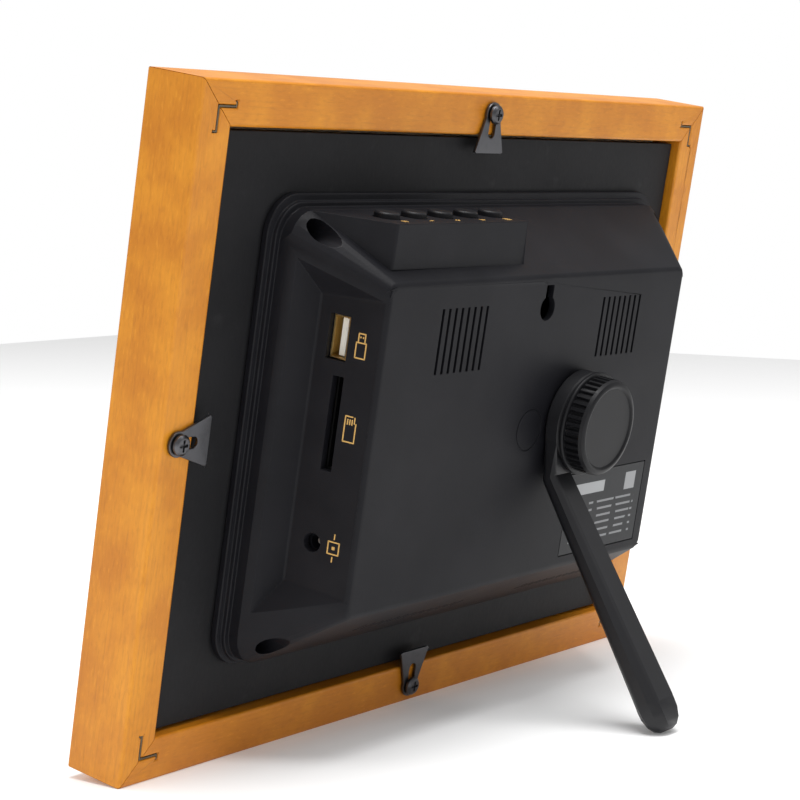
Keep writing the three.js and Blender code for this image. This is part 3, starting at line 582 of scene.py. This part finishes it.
socketMarks = {  # name: (height up the recess wall, strokes)
    "usb_mark": (28.5, (
        (-1.5, -1.2, 0.35, 4.2), (1.5, -1.2, 0.35, 4.2), (0, -3.3, 3.35, 0.35), (0, 0.9, 3.35, 0.35),
        (-1.0, 2.2, 0.35, 2.4), (1.0, 2.2, 0.35, 2.4), (0, 3.4, 2.35, 0.35), (-0.4, 2.4, 0.4, 0.5),
        (0.4, 2.4, 0.4, 0.5))),
    "card_mark": (5.6, (
        (-1.7, 0, 0.35, 7.0), (1.7, -0.8, 0.35, 5.4), (0, -3.5, 3.75, 0.35), (-0.6, 3.5, 2.5, 0.35),
        (1.2, 2.6, 0.35, 1.9), (-0.9, 2.0, 0.35, 1.6), (-0.2, 2.0, 0.35, 1.6), (0.5, 2.0, 0.35, 1.6))),
    "power_mark": (-27.8, (
        (0, 0, 0.9, 0.9), (-1.7, 0, 0.35, 3.4), (1.7, 0, 0.35, 3.4), (0, -1.7, 3.75, 0.35),
        (0, 1.7, 3.75, 0.35), (0, 3.2, 0.35, 1.6), (0, -3.2, 0.35, 1.6))),
}
buttonMarks = (
    ((0, 0, 2.4, 0.35), (0, 0.8, 2.4, 0.35), (0, -0.8, 2.4, 0.35)),
    ((-0.7, 0, 0.35, 1.6), (0.1, 0, 0.35, 1.1), (0.8, 0, 0.35, 0.5)),
    ((0, 0, 1.8, 0.35), (0, 0, 0.35, 1.8)),
    ((0, 0, 1.8, 0.35),),
    ((-0.6, 0, 0.4, 1.7), (0.6, 0, 0.4, 1.7)),
)
wallRun = marks["wallHead"] - marks["wallFoot"]
wallPoint = marks["wallFoot"] + wallRun * (marks["wallDepth"] - marks["wallFoot"].y) / wallRun.y
facingLeft = Matrix(((0, 0, 1, 0), (1, 0, 0, 0), (0, 1, 0, 0), (0, 0, 0, 1)))
wallTurn = Matrix.Rotation(math.atan2(-wallRun.x, wallRun.y), 4, "Z") @ facingLeft
podTurn = Matrix.Rotation(math.pi, 4, "Z")
for name, (height, strokes) in socketMarks.items():
    printMark(name, (*wallPoint, height), wallTurn, strokes)
for number, strokes in enumerate(buttonMarks):
    along = marks["firstButton"] + marks["buttonPitch"] * number
    printMark(f"button_mark_{number + 1}", (along, marks["podDepth"], marks["podTop"]), podTurn, strokes)
print("marks done")

# CAD nodes that keep their own mesh and take a finish
kept = {
    "glass": ["glass"],
    "mat": ["mat_board"],
    "screen": ["display_panel"],
    # the card socket takes the near-black steel, which is painted shade for the dark inside of its slot
    "paintedShadeSteel": ["card_socket"],
    "steel": ["display_tray", "power_jack_pin", "stand_bolt"]
             + [f"board_screw_{number}" for number in range(1, 5)]
             + [f"switch_{number}" for number in range(1, 6)],
    "brass": ["usb_shell", "stand_insert"],
    "whitePlastic": ["usb_tongue"],
    "case": ["power_jack"],
    "circuit": ["main_board", "button_board"],
    "cone": ["speaker_left", "speaker_right"],
    "ribbon": ["display_ribbon"],
    "label": ["rating_label"],
}
for finish, nodes in kept.items():
    for node in nodes:
        for materialSlot in frame["nodes"][node].material_slots:
            materialSlot.material = finishes[finish]

room = {"floor": 2.6, "floorColour": (0.90, 0.90, 0.90, 1), "floorGlow": 0.12, "sky": 0.50, "skySeen": 1.0}
bpy.ops.object.select_all(action="DESELECT")
bpy.ops.mesh.primitive_plane_add(size=room["floor"])
floor = bpy.context.object
floor.name = "floor"
floor.data.materials.append(newRecipe("floor_paint").finish(
    Base_Color=room["floorColour"], Roughness=0.8, Emission_Color=(1, 1, 1, 1),
    Emission_Strength=room["floorGlow"]))

# the sky is white to look at, and softer as a light
world = bpy.data.worlds.new("studio")
bpy.context.scene.world = world
sky = Recipe(world)
seen = sky.node("ShaderNodeLightPath", {}, {})["Is Camera Ray"]
strength = room["sky"] + (room["skySeen"] - room["sky"]) * seen
light = sky.node("ShaderNodeBackground", {}, {"Color": (1, 1, 1, 1), "Strength": strength})["Background"]
sky.node("ShaderNodeOutputWorld", {}, {"Surface": light})

lamps = {  # name: (place, size, power); all look at lampAim
    "key": ((-0.35, 0.75, 1.2), 0.6, 2.8),
    "top": ((0.1, 0.12, 1.4), 0.9, 19),
    "side": ((1.3, 0.25, 0.7), 0.8, 1.4),
    "front": ((0.3, -1.4, 0.9), 0.9, 6),
}
lampAim = Vector((0, 0, 0.1))


# a lamp or the camera, put at its place and turned to look at aim
def aimed(name, data, place, aim):
    made = bpy.data.objects.new(name, data)
    bpy.context.scene.collection.objects.link(made)
    made.location = place
    made.rotation_euler = (aim - place).to_track_quat("-Z", "Y").to_euler()
    return made


for name, (place, size, power) in lamps.items():
    lamp = bpy.data.lights.new(name, "AREA")
    lamp.shape = "DISK"
    lamp.size = size
    lamp.energy = power
    aimed(name, lamp, Vector(place), lampAim)

eye = {
    "aim": Vector((0.0178, -0.0226, 0.0965)), "distance": 0.65, "bearing": math.radians(37.1),
    "elevation": math.radians(5.58), "lens": 98.0,
}
towards = Vector((math.cos(eye["bearing"]) * math.cos(eye["elevation"]),
                  math.sin(eye["bearing"]) * math.cos(eye["elevation"]), math.sin(eye["elevation"])))
camera = bpy.data.cameras.new("camera")
camera.lens = eye["lens"]
bpy.context.scene.camera = aimed("camera", camera, eye["aim"] + towards * eye["distance"], eye["aim"])
bpy.context.scene.view_settings.view_transform = "Standard"
print("room, light and camera set")
